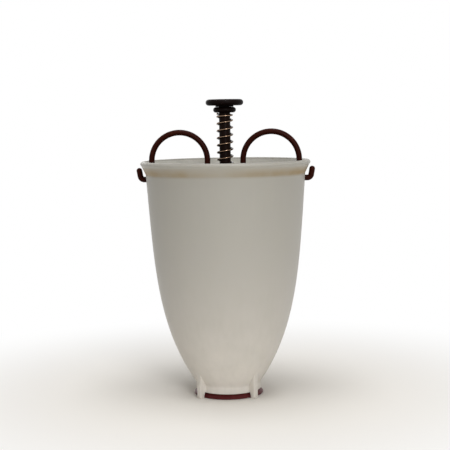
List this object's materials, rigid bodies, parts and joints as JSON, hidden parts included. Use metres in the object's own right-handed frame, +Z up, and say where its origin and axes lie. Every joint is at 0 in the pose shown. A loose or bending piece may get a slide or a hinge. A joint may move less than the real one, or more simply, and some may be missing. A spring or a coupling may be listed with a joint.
{
  "type": "donut dropper",
  "caption": "Hand-held donut batter dropper: a plastic hopper on short feet, with wire finger loops and a sprung thumb plunger that lowers a disc out of the spout.",
  "frame": {"origin": "on the axis of the hopper, level with the undersides of the feet", "axes": "+Z up along the plunger; the finger loops and hooks lie along X; -Y is the front"},
  "size_m": [0.137, 0.13, 0.227],
  "materials": {
    "hopper_plastic": "moulded polypropylene, off-white, soft satin",
    "lacquered_wire": "dark brown lacquer on bent steel wire",
    "spring_wire": "brown-toned spring wire with bright highlights",
    "brown_plastic": "near-black brown moulded plastic, semi-gloss",
    "disc_plastic": "dark maroon brown moulded plastic, semi-gloss",
    "bare_steel": "plain zinc-plated steel"
  },
  "bodies": {
    "hopper_body": {"hopper": "hopper_plastic", "handle_wire": "lacquered_wire", "guide_bush": "brown_plastic", "return_spring": "spring_wire"},
    "collar": {"spring_collar": "brown_plastic"},
    "plunger": {"plunger_rod": "brown_plastic", "thumb_knob": "brown_plastic", "dispensing_disc": "disc_plastic", "disc_washer": "bare_steel", "disc_screw": "bare_steel"}
  },
  "joints": [
    {"name": "plunger_slide", "type": "slide", "parent": "hopper_body", "child": "collar", "axis": [0, 0, -1], "range_m": [0, 0.022], "stiffness_N_per_m": 800, "springref_m": -0.008, "deforming": ["return_spring"]},
    {"name": "plunger_turn", "type": "hinge", "parent": "collar", "child": "plunger", "pos_m": [0, 0, 0.19], "axis": [0, 0, 1], "continuous": true}
  ]
}
